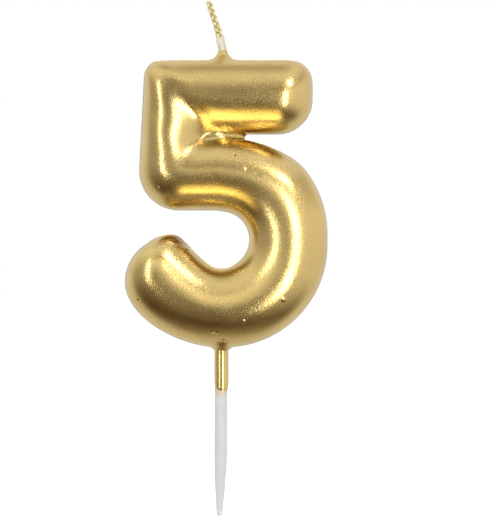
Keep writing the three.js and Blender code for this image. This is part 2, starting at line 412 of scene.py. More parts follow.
def remeshed(obj, size, smoothing):
    """One even skin round everything in the object, smoothed, and more so round the fold."""
    modifier = obj.modifiers.new("Even skin", "REMESH")
    modifier.mode = "VOXEL"
    modifier.voxel_size = size
    baked(obj)
    bm = bmesh.new()
    bm.from_mesh(obj.data)
    fold = Vector(FOLD["middle"]) * MM
    for reach, times in FOLD_SOFTENING:
        close = [vert for vert in bm.verts if math.dist(vert.co.xz, fold) < reach * MM]
        smoothed(bm, close, times * smoothing)
    smoothed(bm, bm.verts, smoothing)
    bm.to_mesh(obj.data)
    bm.free()
    return obj


def cut(obj, cutter):
    """Cuts the cutter out of the object and removes the cutter."""
    modifier = obj.modifiers.new("Cut", "BOOLEAN")
    modifier.operation = "DIFFERENCE"
    modifier.solver = "EXACT"
    modifier.object = cutter
    baked(obj)
    bpy.data.objects.remove(cutter)
    return obj


def rounded(obj):
    """Shades smooth, with an edge kept sharp where faces meet at more than 40 degrees."""
    obj.data.shade_smooth()
    obj.data.set_sharp_from_angle(angle=math.radians(40))
    return obj


def dressed(obj, material, slot, body, *nodes):
    """Gives a finished piece its material and body, and hides the nodes that it stands for. The
    slot is not used.
    """
    obj.data.materials.clear()
    obj.data.materials.append(material)
    if body:
        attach(obj, body)
    if nodes:
        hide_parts(*nodes)


# ---- numeral ----

# Small flaws of the coat's front, in mm. A spot is x, z, radius and height, and a crease is two
# x, z ends and a height. Pits have a height below zero. The crinkle is a row of low bumps that
# waves across the notch's upper edge.
PITS = ((3.04, 43.1, 0.5, -0.2), (-14.1, 35.9, 0.42, -0.15), (-18.4, 11.0, 0.38, -0.12))
BEADS = (
    (13.9, 10.9, 0.6, 0.14),
    (-1.7, 3.8, 0.5, 0.15),
    (-0.8, 3.55, 0.42, 0.12),
    (0.45, 1.7, 0.55, 0.16),
    (5.0, 6.1, 0.5, 0.1),
    (5.1, 40.0, 0.6, 0.1),
)
SPOTS = (*PITS, *BEADS)
CREASES = (
    ((-7.0, 54.6), (-4.4, 51.8), 0.03),
    ((-11.6, 23.9), (-7.25, 22.0), 0.09),
    ((-10.8, 24.3), (-6.7, 22.35), -0.06),
)
CREASE_REACH = 0.26
CRINKLE = {"start": (-2.6, 49.35), "step": (0.5, -0.13), "wave": 0.34, "size": 0.42, "rise": 0.032}
CRINKLE_BUMPS = 11
FINER_ROUND_MARKS = 0.3

# How far apart a loft's sections are, in mm, and how many sides they have. Then the rounds of
# smoothing, and the bores, in metres.
FINE_LOFT, COARSE_LOFT = (0.5, 72), (1.0, 40)
SKIN_SMOOTHING, CORE_SMOOTHING, MARK_SMOOTHING = 10, 3, 4
WICK_BORE_FOOT, BORE_OVERRUN = 0.0376, 0.01
BORE_STEPS = 64


def draped(verts, half_depth):
    """Lets a collar's edge follow the round bar: lower the further it is from the mid plane."""
    for vert in verts:
        share = min(0.96, abs(vert.co.y) / (half_depth * MM))
        vert.co.z -= HALF_STROKE * MM * (1 - math.sqrt(1 - share**2))


def flatten_nose(rings, inset):
    """Flattens the hook's upper right corner to a facet, where the mould's edge left it."""
    normal = Vector(NOSE_FACET["normal"]).normalized()
    middle = Vector(NOSE_FACET["point"]) * MM - normal * inset * MM
    for vert in (vert for ring in rings for vert in ring):
        over = (vert.co - middle).dot(normal)
        if over > 0 and vert.co.x < NOSE_FACET["right"] * MM:
            vert.co -= normal * over


def numeral_mesh(sizes, inset, step, sides, with_flare=False):
    """The whole numeral as overlapping closed shapes, taken in by inset, in mm."""
    half_depth = sizes.half_depth / MM
    parts = [bar_sections(step), turn_sections(step), bowl_sections(step), hook_sections(step)]
    matrices = [section_matrix(s, inset, half_depth) for part in parts for s in part]
    bm = bmesh.new()
    rings = loft(bm, matrices, sides)
    lean_crest(rings[len(parts[0]) :], parts[1], half_depth - inset)
    flatten_nose(rings[-len(parts[3]) :], inset)
    radii = [(radius - inset) * MM for radius in WEB["radii"]]
    place = Matrix.Translation(Vector(WEB["centre"]) * MM) @ Matrix.Diagonal(radii).to_4x4()
    bmesh.ops.create_uvsphere(bm, u_segments=48, v_segments=32, radius=1, matrix=place)
    add_peak(bm, inset, half_depth)
    if with_flare:
        add_flare(bm)
    return bm


def add_peak(bm, inset, half_depth):
    """The meniscus of wax and lacquer drawn up round the wick."""
    crown = HEIGHT - inset
    deep = crown - COLLAR_DEPTH
    outline = [(radius - inset * 0.5, crown + rise - inset) for radius, rise in PEAK]
    profile = [(0, deep), (outline[0][0], deep), *outline, (0, outline[-1][1])]
    known = set(bm.verts)
    turned(bm, [(r * MM, z * MM) for r, z in profile], COLLAR_STEPS, (BEND[0], 0, 0))
    draped([vert for vert in bm.verts if vert not in known], half_depth)


def add_flare(bm):
    """The small meniscus of lacquer drawn down round the pick."""
    profile = [(0, COLLAR_DEPTH), (FLARE[0][0], COLLAR_DEPTH), *FLARE, (0, FLARE[-1][1])]
    turned(bm, [(r * MM, z * MM) for r, z in profile], COLLAR_STEPS)


def bore_cutter(radius, low, high, x=0.0):
    """A round cutter between two heights."""
    bm = bmesh.new()
    bmesh.ops.create_cone(
        bm,
        cap_ends=True,
        segments=BORE_STEPS,
        radius1=radius,
        radius2=radius,
        depth=high - low,
        matrix=Matrix.Translation((x, 0, (low + high) / 2)),
    )
    return finished("cutter", bm)


def bored(obj, sizes):
    """Cuts the wick's and the pick's holes."""
    cut(obj, bore_cutter(sizes.wick_bore, WICK_BORE_FOOT, HEIGHT * MM + BORE_OVERRUN, BEND[0]))
    return cut(obj, bore_cutter(sizes.socket_radius, -BORE_OVERRUN, sizes.socket_top))


def hollowed(obj, lining):
    """Joins a lining that faces inwards, which leaves the object a wall between the two."""
    bm = bmesh.new()
    bm.from_mesh(obj.data)
    known = set(bm.faces)
    bm.from_mesh(lining.data)
    bmesh.ops.reverse_faces(bm, faces=[face for face in bm.faces if face not in known])
    bm.to_mesh(obj.data)
    bm.free()
    bpy.data.objects.remove(lining)
    return obj


def front_of(bm, reach, away):
    """The front vertices that are within reach, in mm, by a distance function of x and z in mm."""
    return [v for v in bm.verts if v.normal.y < 0 and away(v.co.x / MM, v.co.z / MM) < reach]


def away_from_spot(middle):
    """A function for how far a point is from an x, z pair, in mm."""
    return lambda x, z: math.dist((x, z), middle)


def away_from_line(start, end):
    """A function for how far a point is from a line between two x, z pairs, in mm."""
    a, b = Vector(start), Vector(end)
    span = b - a

    def away(x, z):
        t = min(1, max(0, (Vector((x, z)) - a).dot(span) / span.length_squared))
        return (Vector((x, z)) - a - span * t).length

    return away


def mark_functions():
    """Distance function, radius and height of each small flaw on the front, in mm."""
    marks = [(away_from_spot((x, z)), size, rise) for x, z, size, rise in SPOTS]
    marks += [(away_from_line(start, end), CREASE_REACH, rise) for start, end, rise in CREASES]
    (x, z), (step_x, step_z) = CRINKLE["start"], CRINKLE["step"]
    for i in range(CRINKLE_BUMPS):
        middle = (x + step_x * i, z + step_z * i + CRINKLE["wave"] * math.sin(2.4 * i))
        size = CRINKLE["size"] + 0.1 * math.sin(1.7 * i)
        rise = CRINKLE["rise"] + 0.016 * math.cos(2.9 * i)
        marks.append((away_from_spot(middle), size, rise))
    return marks


def marked(obj):
    """Raises and sinks the coat's small beads, creases and pits in a locally finer mesh."""
    bm = bmesh.new()
    bm.from_mesh(obj.data)
    bm.normal_update()
    marks = mark_functions()
    edges = set()
    for away, size, _ in marks:
        for vert in front_of(bm, size + FINER_ROUND_MARKS, away):
            edges.update(edge for face in vert.link_faces for edge in face.edges)
    made = bmesh.ops.subdivide_edges(bm, edges=list(edges), cuts=2, use_grid_fill=True)
    added = [item for item in made["geom_inner"] if isinstance(item, bmesh.types.BMVert)]
    smoothed(bm, added, MARK_SMOOTHING)
    bm.normal_update()
    for away, size, rise in marks:
        for vert in front_of(bm, size, away):
            share = away(vert.co.x / MM, vert.co.z / MM) / size
            vert.co += vert.normal * rise * MM * (1 - share**2) ** 2
    bm.to_mesh(obj.data)
    bm.free()


class CANDLE_OT_coat(bpy.types.Operator):
    """Build the numeral's gold coat as a thin shell with holes for the wick and the pick"""

    bl_idname = "candle.coat"
    bl_label = "Gold Coat"

    def execute(self, context):
        sizes = context.scene.candle_sizes
        skin = finished("numeral_coat", numeral_mesh(sizes, 0, *FINE_LOFT, with_flare=True))
        marked(remeshed(skin, sizes.grain, SKIN_SMOOTHING))
        lining = finished("lining", numeral_mesh(sizes, sizes.coat / MM, *COARSE_LOFT))
        remeshed(lining, sizes.core_grain, CORE_SMOOTHING)
        bored(hollowed(skin, lining), sizes)
        rounded(skin)
        dressed(skin, gold_material(context), "gold_lacquer", "numeral", "gold_coat")
        return {"FINISHED"}


class CANDLE_OT_core(bpy.types.Operator):
    """Build the wax inside the coat, with its holes for the wick and the pick"""

    bl_idname = "candle.core"
    bl_label = "Wax Core"

    def execute(self, context):
        sizes = context.scene.candle_sizes
        inset = (sizes.coat + sizes.core_gap) / MM
        core = finished("numeral_wax", numeral_mesh(sizes, inset, *COARSE_LOFT))
        remeshed(core, sizes.core_grain, CORE_SMOOTHING)
        rounded(bored(core, sizes))
        dressed(core, wax_material(context), "wax", "numeral", "wax_core")
        return {"FINISHED"}


# ---- wick ----

# The wick, in mm: its middle line as x, z pairs, and then pairs of height and size. WICK_SIZE is a
# share of the plait's full size, and SLEEVE is the wax sleeve's radius. Twist is in radians per mm.
WICK_PATH = (
    (0.3, 38.0),
    (0.3, 66.2),
    (0.25, 67.5),
    (-0.28, 69.3),
    (-0.75, 71.5),
    (-1.6, 73.9),
    (-2.9, 77.9),
)
WICK_SIZE = ((67.0, 0.94), (69.5, 1.02), (71.5, 1.0), (72.8, 0.88), (78.0, 0.86))
WICK_ROUNDING, LEAN_SPAN = 0.5, 0.4
STRAND_RINGS, STRAND_SIDES = 230, 20
STRAND_TWIST = 2.6
YARNS, YARN_GROOVE = 5, 0.16
SLEEVE = (
    (66.2, 0.86),
    (67.2, 0.98),
    (68.0, 0.95),
    (69.0, 0.93),
    (69.5, 0.9),
    (69.75, 0.8),
    (69.8, 0.6),
)
SLEEVE_RINGS, SLEEVE_SIDES, SLEEVE_FLATNESS = 44, 40, 0.94

# In metres: how far the strands swing sideways and in depth, and how ragged the sleeve's upper edge
# is.
WICK_SPREAD, WICK_DEPTH = 0.0005, 0.00044
SLEEVE_RAGGED = 0.00022


def eased(pairs, value):
    """The second number of the pairs at value, straight between them."""
    for (low, first), (high, second) in zip(pairs, pairs[1:]):
        if value <= high:
            t = max(0, (value - low) / (high - low))
            return first + (second - first) * t
    return pairs[-1][1]


def wick_line(z):
    """The x of the wick's middle at a height, in mm, with its corners rounded."""
    heights = [z + WICK_ROUNDING * (i - 2) for i in range(5)]
    along = [(height, x) for x, height in WICK_PATH]
    return sum(eased(along, height) for height in heights) / len(heights)


def strand_point(phase, z, sizes):
    """A point on a strand's middle line, at a height in mm."""
    turn = math.tau * z * MM / sizes.plait_pitch + phase
    size = eased(WICK_SIZE, z)
    lean = math.atan((wick_line(z + LEAN_SPAN) - wick_line(z - LEAN_SPAN)) / (2 * LEAN_SPAN))
    side = WICK_SPREAD * size * math.cos(turn)
    x = wick_line(z) * MM + side * math.cos(lean)
    return Vector((x, WICK_DEPTH * size * math.sin(2 * turn), z * MM - side * math.sin(lean)))


def strand_matrices(phase, sizes):
    """Where the rings of one strand go, from its foot in the wax to its tip."""
    low, high = WICK_PATH[0][1] + 0.2, WICK_PATH[-1][1]
    matrices = []
    for i in range(STRAND_RINGS + 1):
        z = low + (high - low) * (1 - (1 - i / STRAND_RINGS) ** 1.35)
        here = strand_point(phase, z, sizes)
        below, above = (strand_point(phase, z + by, sizes) for by in (-0.1, 0.1))
        along = (above - below).normalized()
        side = along.cross(BACKWARDS).normalized()
        size = sizes.strand * eased(WICK_SIZE, z)
        axes = Matrix((side * size, along.cross(side) * size, along)).transposed().to_4x4()
        twist = Matrix.Rotation(z * STRAND_TWIST, 4, "Z")
        matrices.append((Matrix.Translation(here) @ axes @ twist, z))
    return matrices


def strand_mesh(phase, sizes):
    """One strand: a tube with the grooves of its yarns, and its height and angle as attributes."""
    bm = bmesh.new()
    height_layer = bm.verts.layers.float.new("height")
    angle_layer = bm.verts.layers.float.new("angle")
    placed = strand_matrices(phase, sizes)
    rings = loft(bm, [matrix for matrix, _ in placed], STRAND_SIDES)
    for ring, (matrix, z) in zip(rings, placed):
        middle = matrix.translation
        for index, vert in enumerate(ring):
            turn = math.tau * index / len(ring)
            groove = 1 - YARN_GROOVE * (0.5 + 0.5 * math.cos(YARNS * turn)) ** 2
            vert.co = middle + (vert.co - middle) * groove
            vert[height_layer] = z
            vert[angle_layer] = turn
    return bm


def sleeve_mesh():
    """The clear wax drawn up round the plait's foot, with a ragged upper edge."""
    bm = bmesh.new()
    matrices = []
    low, high = SLEEVE[0][0], SLEEVE[-1][0]
    for i in range(SLEEVE_RINGS + 1):
        z = low + (high - low) * (1 - (1 - i / SLEEVE_RINGS) ** 1.6)
        radius = eased(SLEEVE, z)
        way = Vector((wick_line(z + 0.2) - wick_line(z - 0.2), 0, 0.4)).normalized()
        turn = Vector((0, 0, 1)).rotation_difference(way).to_matrix().to_4x4()
        place = Matrix.Scale(MM, 4) @ Matrix.Translation(point(wick_line(z), z))
        matrices.append(place @ turn @ Matrix.Diagonal((radius, radius * SLEEVE_FLATNESS, 1, 1)))
    rings = loft(bm, matrices, SLEEVE_SIDES)
    for row, (matrix, ring) in enumerate(zip(matrices, rings)):
        middle, share = matrix.translation, row / SLEEVE_RINGS
        for i, vert in enumerate(ring):
            turn = math.tau * i / len(ring)
            lump = 0.05 * math.sin(2 * turn + 5 * share)
            lump += 0.035 * math.sin(3 * turn - 9 * share + 1)
            vert.co = middle + (vert.co - middle) * (1 + lump)
            vert.co.z += SLEEVE_RAGGED * share**5 * math.sin(3 * turn + 0.8)
    return bm


class CANDLE_OT_wick(bpy.types.Operator):
    """Build the wick's three plaited strands and the wax drawn up round their foot"""

    bl_idname = "candle.wick"
    bl_label = "Wick"

    def execute(self, context):
        sizes = context.scene.candle_sizes
        material = wick_material(context)
        for i in range(3):
            strand = finished(f"wick_strand_{i + 1}", strand_mesh(math.tau * i / 3, sizes))
            rounded(strand)
            nodes = (f"wick_set_strand_{i + 1}", f"wick_free_strand_{i + 1}")
            dressed(strand, material, "wick_cotton", None, *nodes)
            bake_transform(strand)
        sleeve = rounded(finished("wick_sleeve", sleeve_mesh()))
        wax = bpy.data.materials.get("candle wax") or wax_material(context)
        dressed(sleeve, wax, "wax", None)
        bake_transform(sleeve)
        return {"FINISHED"}


# ---- pick ----

PICK_TIP = {"flat": 0.00052, "radius": 0.0006, "chamfer": 0.0001, "taper": 0.0145, "lean": 0.0005}
PICK_TAPER_ROWS, PICK_STEPS = 24, 72
FILM = {"gap": 0.00002, "share": 0.85, "bead": 0.00002, "drips": 0.00045, "overlap": 0.001}
FILM_ROWS, FILM_STEPS = 30, 96


def pick_profile(sizes):
    """Radius, height pairs from the blunt tip to the end inside the wax."""
    low, high, radius = PICK_BOX[0][2], PICK_BOX[1][2], sizes.pick_radius
    tip, chamfer = PICK_TIP["radius"], PICK_TIP["chamfer"]
    profile = [(0, low), (PICK_TIP["flat"], low), (tip, low + chamfer)]
    for i in range(1, PICK_TAPER_ROWS + 1):
        t = i / PICK_TAPER_ROWS
        grown = 1 - (1 - t) ** 1.7
        profile.append((tip + (radius - tip) * grown, low + chamfer + PICK_TIP["taper"] * t))
    profile += [(radius, high - 0.0006), (radius - 0.0001, high - 0.0002)]
    return [*profile, (radius - 0.0004, high), (0, high)]


class CANDLE_OT_pick(bpy.types.Operator):
    """Build the plastic pick and the gold film on its upper end"""

    bl_idname = "candle.pick"
    bl_label = "Pick"

    def execute(self, context):
        sizes = context.scene.candle_sizes
        bm = bmesh.new()
        turned(bm, pick_profile(sizes), PICK_STEPS)
        for vert in bm.verts:
            vert.co.x -= PICK_TIP["lean"] * max(0, vert.co.z / PICK_BOX[0][2]) ** 2.4
        pick = rounded(finished("pick_shaft", bm))
        dressed(pick, plastic_material(context), "frosted_plastic", "pick", "pick")
        film = rounded(finished("pick_film", film_mesh(sizes)))
        coat = gold_material(context, "dried gold film", 0.000006, 0.00001)
        dressed(film, coat, "gold_lacquer", "pick", "pick_gold_film")
        return {"FINISHED"}


def film_mesh(sizes):
    """A dried film: a sleeve with a thick, wavy lower edge and drips that ran down."""
    low, high = FILM_BOX[0][2], FLARE[-1][1] * MM + FILM["overlap"]
    inside, outside = sizes.pick_radius + FILM["gap"], FILM_BOX[1][0]
    thick = (outside - inside) * FILM["share"]
    profile = [(inside, low)]
    for i in range(FILM_ROWS + 1):
        t = i / FILM_ROWS
        bead = FILM["bead"] * math.exp(-(((t - 0.05) / 0.04) ** 2))
        rise = min(1, t / 0.2) ** 0.5
        profile.append((inside + thick * rise + bead, low + (high - low) * t))
    profile += [(inside, high), (inside, low)]
    bm = bmesh.new()
    turned(bm, profile, FILM_STEPS)
    for vert in bm.verts:
        turn = math.atan2(vert.co.y, vert.co.x)
        share = 1 - (vert.co.z - low) / (high - low)
        wave = 0.5 + 0.28 * math.sin(turn * 2 + 0.6) + 0.22 * math.sin(turn * 5 + 2.0)
        vert.co.z += FILM["drips"] * wave * share**6
    return bm


# ---- materials ----

MIX_FACTOR, MIX_FIRST, MIX_SECOND, MIX_RESULT = 0, 6, 7, 2
# Painted shade: a spot of the darker tone on the front where the pick enters the numeral.
PICK_ENTRY_SHADE = {"point": (0.0002, -0.0018, 0.0001), "reach": 0.0019}
# Painted shade: a spot of the darker tone on the hook's nose.
NOSE_SHADE = {"point": (-0.0092, 0, 0.0246), "reach": 0.0034}
GILT_STARTS, GILT_FULL = 69.9, 70.9
STAIN_BELOW, STAIN_ABOVE = 0.0012, 0.0008


class Nodes:
    """Adds nodes to a material or world, and links them to each other."""

    def __init__(self, owner, shader="Principled BSDF"):
        owner.use_nodes = True
        self.owner = owner
        self.tree = owner.node_tree
        self.shader = self.tree.nodes[shader]

    def plug(self, socket, value):
        """Links an input to another node's output, or gives it a plain value."""
        if isinstance(value, bpy.types.NodeSocket):
            self.tree.links.new(value, socket)
        else:
            socket.default_value = value

    def add(self, kind, inputs=None, **settings):
        node = self.tree.nodes.new("ShaderNode" + kind)
        for key, value in settings.items():
            setattr(node, key, value)
        for key, value in (inputs or {}).items():
            self.plug(node.inputs[key], value)
        return node

    def set(self, **values):
        """Sets the shader's inputs, named with underscores for spaces."""
        for key, value in values.items():
            self.plug(self.shader.inputs[key.replace("_", " ")], value)

    def place(self):
        """A point's own coordinates on the object."""
        return self.add("TexCoord").outputs["Object"]

    def noise(self, vector, size, detail=2, roughness=0.5):
        """Noise with features about size metres across."""
        inputs = {"Vector": vector, "Scale": 1 / size, "Detail": detail, "Roughness": roughness}
        return self.add("TexNoise", inputs).outputs["Fac"]

    def ramped(self, value, low, high, start=0.0, end=1.0):
        """Takes a value from low..high to start..end, smoothly and within its limits."""
        inputs = {"Value": value, "From Min": low, "From Max": high, "To Min": start, "To Max": end}
        return self.add("MapRange", inputs, interpolation_type="SMOOTHSTEP").outputs["Result"]

    def banded(self, value, bands):
        """A colour that changes softly through value, colour pairs, from -1 to 1."""
        node = self.add("ValToRGB", {"Fac": self.maths("MULTIPLY_ADD", value, 0.5, 0.5)})
        ramp = node.color_ramp
        ramp.interpolation = "EASE"
        while len(ramp.elements) < len(bands):
            ramp.elements.new(1)
        for element, (at, tone) in zip(ramp.elements, bands):
            element.position, element.color = at / 2 + 0.5, rgba(tone)
        return node.outputs["Color"]

    def vector(self, operation, first, second):
        return self.add("VectorMath", {0: first, 1: second}, operation=operation).outputs["Vector"]

    def mixed(self, factor, first, second):
        inputs = {MIX_FACTOR: factor, MIX_FIRST: first, MIX_SECOND: second}
        return self.add("Mix", inputs, data_type="RGBA").outputs[MIX_RESULT]

    def mottled(self, pattern, tone, shade):
        """A tone that darkens to a share of itself where the pattern is high."""
        return self.mixed(self.ramped(pattern, 0.3, 0.7), rgba(tone), rgba(tone, shade))

    def maths(self, operation, first, second=0.5, third=0.5):
        inputs = {0: first, 1: second, 2: third}
        return self.add("Math", inputs, operation=operation).outputs[0]

    def near(self, vector, centre, reach):
        """1 at a point, falling smoothly to 0 at reach."""
        away = self.add("VectorMath", {0: vector, 1: centre}, operation="DISTANCE").outputs["Value"]
        return self.ramped(away, 0, reach, 1, 0)

    def bumped(self, height, depth, normal=None):
        inputs = {"Height": height, "Distance": depth, "Strength": 1.0}
        if normal is not None:
            inputs["Normal"] = normal
        return self.add("Bump", inputs).outputs["Normal"]


def rgba(tone, shade=1):
    """An opaque colour, darkened to a share of the tone."""
    return (*(part * shade for part in tone), 1)


def gold_material(context, name="gold lacquer", flake_depth=0.000026, peel_depth=0.00002):
    """Gold lacquer: metallic flake under a thin gloss, with painted shade in the front's pits,
    where the pick enters and on the hook's nose.
    """
    colours = context.scene.candle_colours
    deep = rgba(colours.flake_and_shade_gold)
    nodes = Nodes(bpy.data.materials.new(name))
    place = nodes.place()
    flake = nodes.noise(place, 0.0004, 2, 0.7)
    fine = nodes.noise(place, 0.00022, 0)
    cloud = nodes.noise(place, 0.006, 3)
    peel = nodes.noise(place, 0.0026, 1)
    tone = nodes.mottled(cloud, colours.gold, 0.94)
    tone = nodes.mixed(nodes.ramped(flake, 0.35, 0.8, 0, 0.22), tone, deep)
    # Painted shade: the darker tone round the front of the pick's entry.
    tone = nodes.mixed(nodes.near(place, PICK_ENTRY_SHADE["point"], PICK_ENTRY_SHADE["reach"]), tone, deep)
    x, y, z = nodes.add("SeparateXYZ", {0: place}).outputs
    back = nodes.ramped(y, -0.001, 0.001)
    flat = nodes.add("CombineXYZ", {"X": x, "Y": back, "Z": z}).outputs["Vector"]
    # Painted shade: the darker tone in each pit on the front.
    for px, pz, size, _ in PITS:
        tone = nodes.mixed(nodes.near(flat, (px * MM, 0, pz * MM), size * MM), tone, deep)
    # Painted shade: the darker tone on the hook's nose.
    tone = nodes.mixed(nodes.near(flat, NOSE_SHADE["point"], NOSE_SHADE["reach"]), tone, deep)
    low = colours.gold_roughness
    roughness = nodes.ramped(nodes.maths("ADD", cloud, fine), 0.6, 1.4, low - 0.04, low + 0.06)
    normal = nodes.bumped(peel, peel_depth, nodes.bumped(flake, flake_depth))
    nodes.set(Base_Color=tone, Metallic=1.0, Roughness=roughness, Normal=normal)
    nodes.set(Coat_Weight=0.35, Coat_Roughness=0.2)
    return nodes.owner


def wax_material(context):
    """Cream candle wax: a soft, slightly clear body with a faint mottle."""
    nodes = Nodes(bpy.data.materials.new("candle wax"))
    place = nodes.place()
    cloud = nodes.noise(place, 0.004, 4)
    tone = nodes.mottled(cloud, context.scene.candle_colours.wax, 0.93)
    normal = nodes.bumped(nodes.noise(place, 0.0008, 2), 0.00001)
    nodes.set(Base_Color=tone, Roughness=nodes.ramped(cloud, 0.2, 0.8, 0.4, 0.55), Normal=normal)
    nodes.set(Subsurface_Weight=0.3, Subsurface_Scale=0.002)
    return nodes.owner


def wick_material(context):
    """Cotton yarn: gilded above, and bare at the foot."""
    colours = context.scene.candle_colours
    nodes = Nodes(bpy.data.materials.new("wick cotton"))
    height = nodes.add("Attribute", attribute_name="height").outputs["Fac"]
    angle = nodes.add("Attribute", attribute_name="angle").outputs["Fac"]
    along = nodes.add("CombineXYZ", {"X": angle, "Y": height}).outputs["Vector"]
    fibre = nodes.add("TexNoise", {"Vector": along, "Scale": 3.0, "Detail": 3}).outputs["Fac"]
    ragged = nodes.maths("MULTIPLY_ADD", fibre, 1.1, height)
    gilt = nodes.ramped(ragged, GILT_STARTS, GILT_FULL)
    # Painted shade and highlight: the gilt is a lit and a shaded copy, mixed by the fibre noise.
    lit = nodes.ramped(fibre, 0.35, 0.65)
    gilt_tone = nodes.mixed(lit, rgba(colours.gilt_shade), rgba(colours.gilt))
    cotton = nodes.mottled(fibre, colours.cotton, 0.8)
    nodes.set(Base_Color=nodes.mixed(gilt, cotton, gilt_tone))
    nodes.set(Metallic=nodes.maths("MULTIPLY", gilt, 0.7))
    nodes.set(Roughness=nodes.ramped(fibre, 0.2, 0.8, 0.32, 0.6))
    nodes.set(Normal=nodes.bumped(fibre, 0.00004))
    return nodes.owner


def plastic_material(context):
    """Frosted plastic: milky, with a faint haze, and stained by the gold round its film."""
    colours = context.scene.candle_colours
    nodes = Nodes(bpy.data.materials.new("frosted plastic"))
    place = nodes.place()
    haze = nodes.noise(place, 0.0009, 3)
    tone = nodes.mottled(haze, colours.plastic, 0.96)
    height = nodes.add("SeparateXYZ", {0: place}).outputs["Z"]
    ragged = nodes.maths("MULTIPLY_ADD", nodes.noise(place, 0.0012, 1), 0.0012, height)
    foot, top = FILM_BOX[0][2], FILM_BOX[1][2]
    rising = nodes.ramped(ragged, foot - STAIN_BELOW, foot + STAIN_ABOVE, 0, 0.6)
    stain = nodes.maths("MULTIPLY", rising, nodes.ramped(height, top, top - STAIN_ABOVE))
    nodes.set(Base_Color=nodes.mixed(stain, tone, rgba(colours.gold)))
    nodes.set(Roughness=nodes.ramped(haze, 0.2, 0.8, 0.34, 0.46))
    nodes.set(Normal=nodes.bumped(haze, 0.000006), Subsurface_Weight=0.5, Subsurface_Scale=0.002)
    nodes.set(IOR=1.49)
    return nodes.owner


# ---- stage ----

FLOOR_REACH = 3
LIT_MIDDLE = (0, 0, 0.035)
BAR_END_MIDDLE = (0.0145, 0, 0.0575)
# Name, what it lights, azimuth, elevation, distance, width, height, power and spread.
LIGHTS = (
    ("key", LIT_MIDDLE, 22, -5, 0.4, 0.085, 0.27, 0.6, 180),
    ("lamp", BAR_END_MIDDLE, 35, 33, 0.4, 0.15, 0.12, 0.009, 16),
    ("strip", LIT_MIDDLE, -31, 2, 0.4, 0.034, 0.26, 0.3, 180),
    ("back", LIT_MIDDLE, 180, 15, 0.5, 0.16, 0.3, 0.4, 180),
)
GOLD_TONE, WHITE_TONE = (1, 0.86, 0.38), (1, 0.98, 0.94)
# Middle, aim, width, depth, glow, tone and spread. The first two glow under the arm and the bar,
# and the last one is low in front.
CARDS = (
    ((-0.0035, -0.040, 0.014), (-0.0035, -0.040, 0.1), 0.019, 0.044, 2.2, GOLD_TONE, 112),
    ((0.0135, -0.040, 0.014), (0.0135, -0.040, 0.1), 0.009, 0.044, 2.2, GOLD_TONE, 112),
    ((0, -0.1, 0.032), (0, 0, -0.005), 0.09, 0.055, 0.1, WHITE_TONE, 56),
)

# What the lacquer sees round the candle, by height: -1 is straight down and 1 straight up.
FRONT_BANDS = (
    (-1.0, (0.62, 0.55, 0.45)),
    (-0.90, (0.30, 0.24, 0.18)),
    (-0.72, (0.09, 0.055, 0.03)),
    (-0.45, (0.20, 0.15, 0.11)),
    (-0.20, (0.11, 0.085, 0.065)),
    (0.03, (0.09, 0.085, 0.075)),
    (0.28, (0.25, 0.23, 0.20)),
    (0.50, (0.57, 0.53, 0.47)),
    (0.71, (1.07, 1.07, 1.07)),
    (0.88, (1.16, 1.16, 1.16)),
    (0.98, (0.82, 0.80, 0.76)),
    (1.0, (0.55, 0.53, 0.48)),
)
BACK_BANDS = (
    (-1.0, (0.85, 0.83, 0.78)),
    (-0.5, (0.95, 0.94, 0.90)),
    (0.1, (1.0, 1.0, 1.0)),
    (1.0, (1.0, 1.0, 1.0)),
)
# What the sides add to the front, as where it starts and ends, and how much it is at each.
LEFT_BY_X, LEFT_BY_Z = (-0.04, -0.32, 0, 0.44), (-0.6, 0)
RIGHT_BY_X, FAR_RIGHT_BY_X = (0.04, 0.32, 0, 0.34), (0.3, 0.6, 0, 0.64)
RIGHT_FROM_BELOW, RIGHT_FROM_ABOVE = (-0.85, -0.2), (0.6, 0.2)
SIDES_FROM_ABOVE = (0.9, 0.4)
# Where the front gives way to the back, and how far that leans with height and with side.
BACK_BY_Y, LEAN_BY_Z, LEAN_BY_X = (-0.05, 0.45), -0.2, -0.1
# The back dims straight behind, and the whole world dims for diffuse light.
BEHIND_DIMS, DIFFUSE_DIMS = (0.8, 0.97, 1, 0.5), -0.6


def floor_material(context):
    """A pale light table: matt, with a faint mottle and a glow of its own."""
    nodes = Nodes(bpy.data.materials.new("floor"))
    place = nodes.place()
    mottle = nodes.noise(place, 0.02, 3)
    tone = context.scene.candle_colours.floor
    nodes.set(Base_Color=nodes.mixed(mottle, rgba(tone), rgba(tone, 0.985)))
    nodes.set(Roughness=0.85, Emission_Color=(1, 1, 1, 1), Emission_Strength=0.7)
    return nodes.owner


def add_area(name, location, aim, width, height, power, spread):
    """A soft rectangular light that looks at aim and shines within a spread, in degrees."""
    light = bpy.data.lights.new(name, "AREA")
    light.shape = "RECTANGLE"
    light.spread = math.radians(spread)
    light.size, light.size_y, light.energy = width, height, power
    obj = bpy.data.objects.new(name, light)
    bpy.context.scene.collection.objects.link(obj)
    obj.location = location
    obj.rotation_euler = (Vector(aim) - Vector(location)).to_track_quat("-Z", "Y").to_euler()
    return obj


def add_card(middle, aim, width, depth, glow, tone, spread):
    """A card that shines on the candle within a spread, and is seen by gloss only."""
    card = add_area("card", middle, aim, width, depth, glow * math.pi * width * depth, spread)
    card.data.color = tone
    card.visible_diffuse = card.visible_camera = False


def around(azimuth, elevation, distance, middle):
    """A point seen from middle: azimuth 0 is in front of the candle, positive to its right."""
    a, e = math.radians(azimuth), math.radians(elevation)
    way = Vector((math.sin(a) * math.cos(e), -math.cos(a) * math.cos(e), math.sin(e)))
    return Vector(middle) + way * distance


